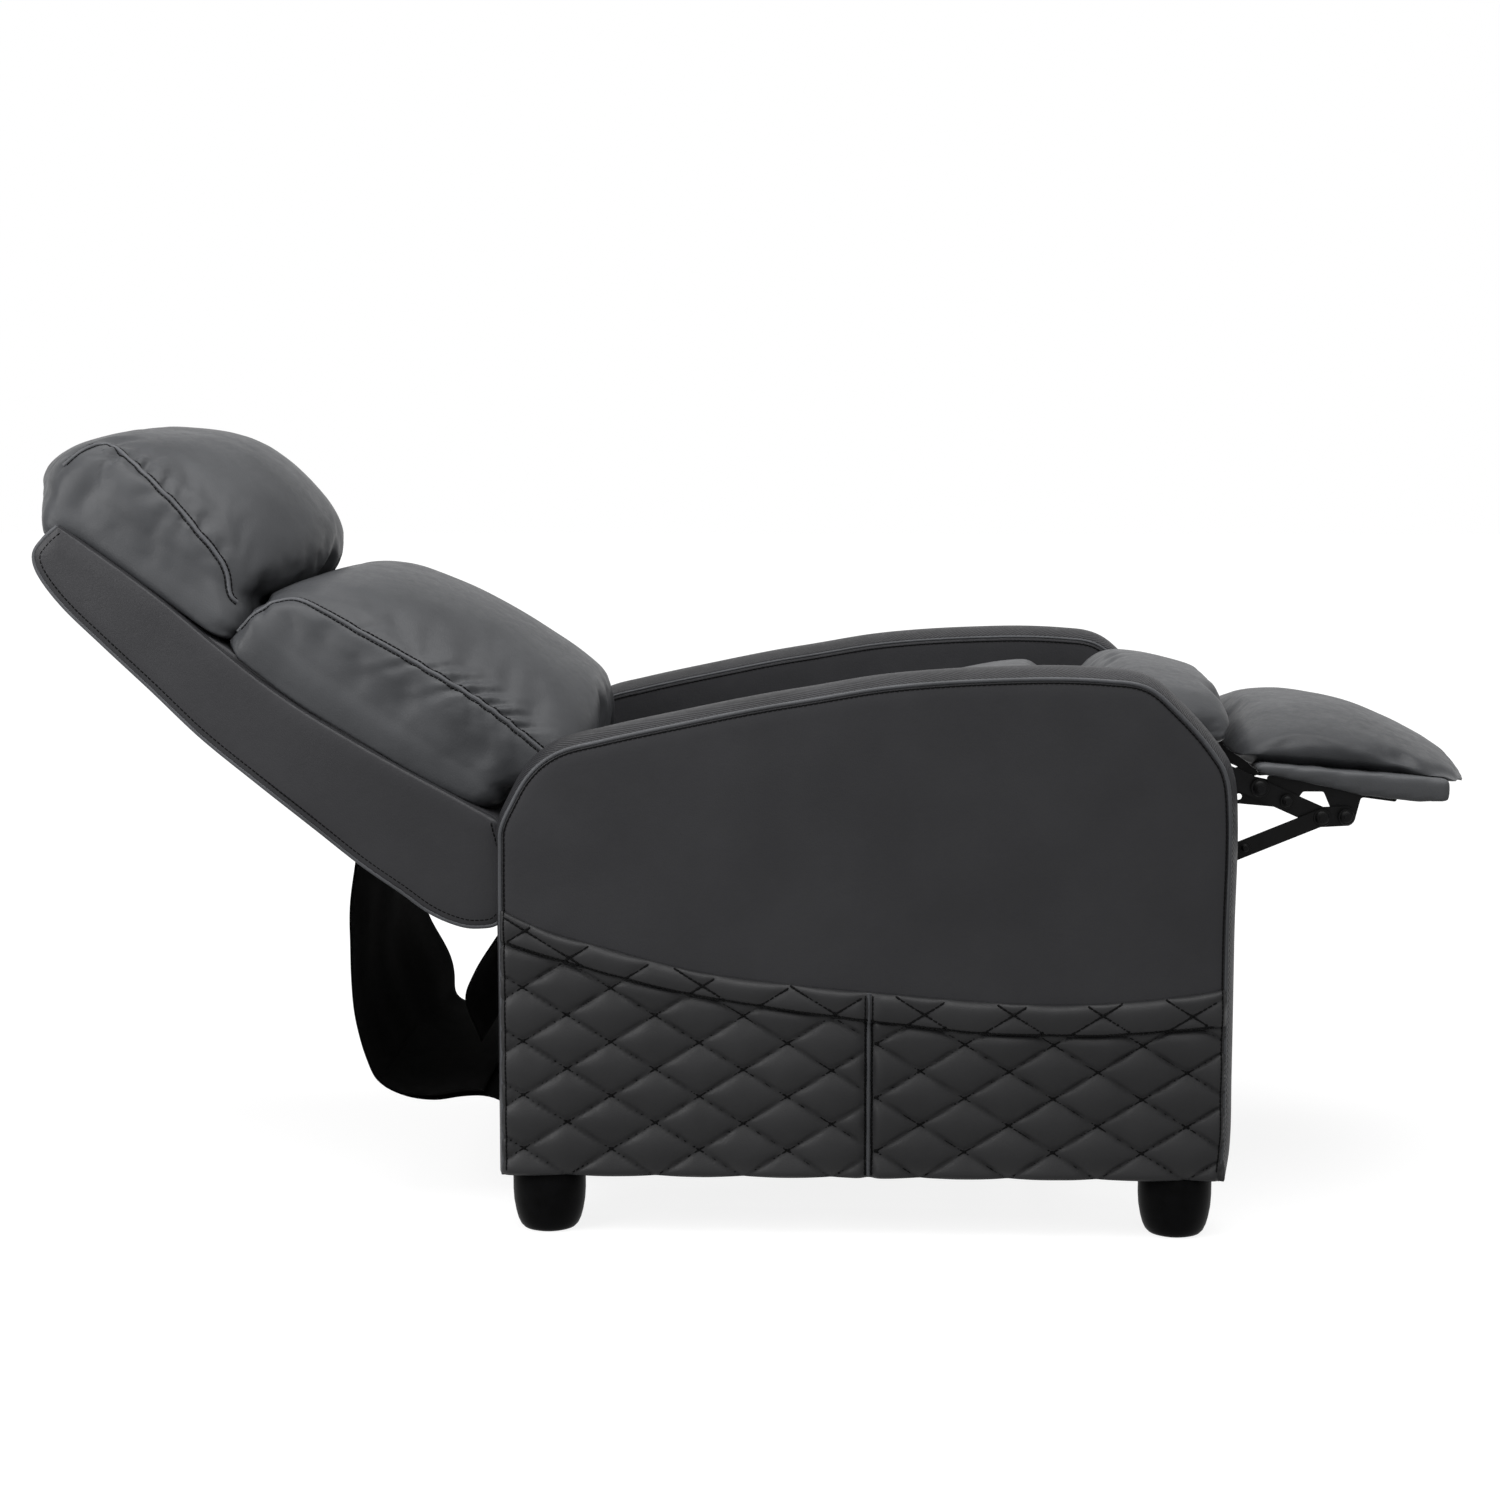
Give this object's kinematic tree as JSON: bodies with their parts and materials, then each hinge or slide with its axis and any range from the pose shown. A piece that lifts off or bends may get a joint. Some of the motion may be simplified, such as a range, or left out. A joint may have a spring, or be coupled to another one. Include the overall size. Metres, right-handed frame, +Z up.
{
  "type": "recliner",
  "caption": "Push-back armchair with a folding footrest on a steel swing linkage, a separate reclining back and overstuffed seat, back, head and foot cushions.",
  "frame": {"origin": "on the floor, under the middle of the chair's bounding box as it stands open", "axes": "+Z up, +X towards the footrest, +Y towards the sitter's left"},
  "size_m": [1.648, 0.69, 0.8663],
  "materials": {
    "leather": "satin",
    "ribbed_leather": "satin",
    "quilted_leather": "satin",
    "black_cloth": "matte",
    "black_plastic": "satin",
    "black_steel": "satin",
    "spring_wire": "satin",
    "softwood": "matte",
    "plywood": "matte"
  },
  "bodies": {
    "base": {"arm_body_left": "leather", "arm_body_right": "leather", "arm_inner_panel_left": "leather", "arm_inner_panel_right": "leather", "arm_top_band_left": "ribbed_leather", "arm_top_band_right": "ribbed_leather", "base_rail_left": "black_steel", "base_rail_right": "black_steel", "board_front": "softwood", "board_rear": "softwood", "cross_tube_front": "black_steel", "cross_tube_rear": "black_steel", "foot_front_left": "black_plastic", "foot_front_right": "black_plastic", "foot_rear_left": "black_plastic", "foot_rear_right": "black_plastic", "panel_hem_left": "leather", "panel_hem_right": "leather", "quilt_panel_left": "quilted_leather", "quilt_panel_right": "quilted_leather", "rear_flap": "black_cloth"},
    "front_swing": {"bell_crank_left": "black_steel", "bell_crank_right": "black_steel", "torque_tube": "black_steel"},
    "rear_swing": {"rear_swing_left": "black_steel", "rear_swing_right": "black_steel"},
    "seat": {"front_pad": "leather", "seat_cushion": "leather", "seat_plate_left": "black_steel", "seat_plate_right": "black_steel", "seat_rail_front": "softwood", "seat_rail_left": "softwood", "seat_rail_rear": "softwood", "seat_rail_right": "softwood", "seat_spring_1": "spring_wire", "seat_spring_2": "spring_wire", "seat_spring_3": "spring_wire", "seat_spring_4": "spring_wire"},
    "upper_link": {"plate_link_left": "black_steel", "plate_link_right": "black_steel"},
    "lower_link": {"cranked_link_left": "black_steel", "cranked_link_right": "black_steel"},
    "footrest": {"footrest_board": "leather", "footrest_bracket_left": "black_steel", "footrest_bracket_right": "black_steel", "footrest_cushion": "leather"},
    "drive_bar": {"drive_bar_left": "black_steel", "drive_bar_right": "black_steel"},
    "back": {"back_bracket_left": "black_steel", "back_bracket_right": "black_steel", "back_cushion": "leather", "back_panel": "plywood", "back_shell": "leather", "head_cushion": "leather"}
  },
  "joints": [
    {"name": "footrest_drive", "type": "hinge", "parent": "base", "child": "front_swing", "pos_m": [0.3431, 0, 0.2217], "axis": [0, -1, 0], "range_deg": [0, 43.49], "deforming": ["rear_flap"]},
    {"name": "rear_swing_hinge", "type": "hinge", "parent": "base", "child": "rear_swing", "pos_m": [0.1767, 0, 0.2827], "axis": [0, -1, 0], "range_deg": [0, 49.94]},
    {"name": "seat_hinge", "type": "hinge", "parent": "front_swing", "child": "seat", "pos_m": [0.2948, 0, 0.3545], "axis": [0, 1, 0], "range_deg": [0, 49.59]},
    {"name": "upper_link_hinge", "type": "hinge", "parent": "seat", "child": "upper_link", "pos_m": [0.5068, 0, 0.485], "axis": [0, 1, 0], "range_deg": [0, 80]},
    {"name": "lower_link_hinge", "type": "hinge", "parent": "seat", "child": "lower_link", "pos_m": [0.49, 0, 0.5074], "axis": [0, 1, 0], "range_deg": [0, 66.16]},
    {"name": "footrest_hinge", "type": "hinge", "parent": "upper_link", "child": "footrest", "pos_m": [0.5938, 0, 0.466], "axis": [0, -1, 0], "range_deg": [0, 6.1]},
    {"name": "drive_bar_hinge", "type": "hinge", "parent": "lower_link", "child": "drive_bar", "pos_m": [0.6318, 0, 0.444], "axis": [0, 1, 0], "range_deg": [0, 12.14]},
    {"name": "back_recline", "type": "hinge", "parent": "seat", "child": "back", "pos_m": [-0.2482, 0, 0.4], "axis": [0, 1, 0], "range_deg": [0, 36], "deforming": ["rear_flap"]}
  ],
  "couplings": [
    {"joint": "rear_swing_hinge", "follows": "footrest_drive", "ratio": 1.1482},
    {"joint": "seat_hinge", "follows": "footrest_drive", "ratio": 1.1403},
    {"joint": "upper_link_hinge", "follows": "footrest_drive", "ratio": 1.8395},
    {"joint": "lower_link_hinge", "follows": "footrest_drive", "ratio": 1.5213},
    {"joint": "footrest_hinge", "follows": "footrest_drive", "ratio": 0.14026},
    {"joint": "drive_bar_hinge", "follows": "footrest_drive", "ratio": 0.27924}
  ]
}
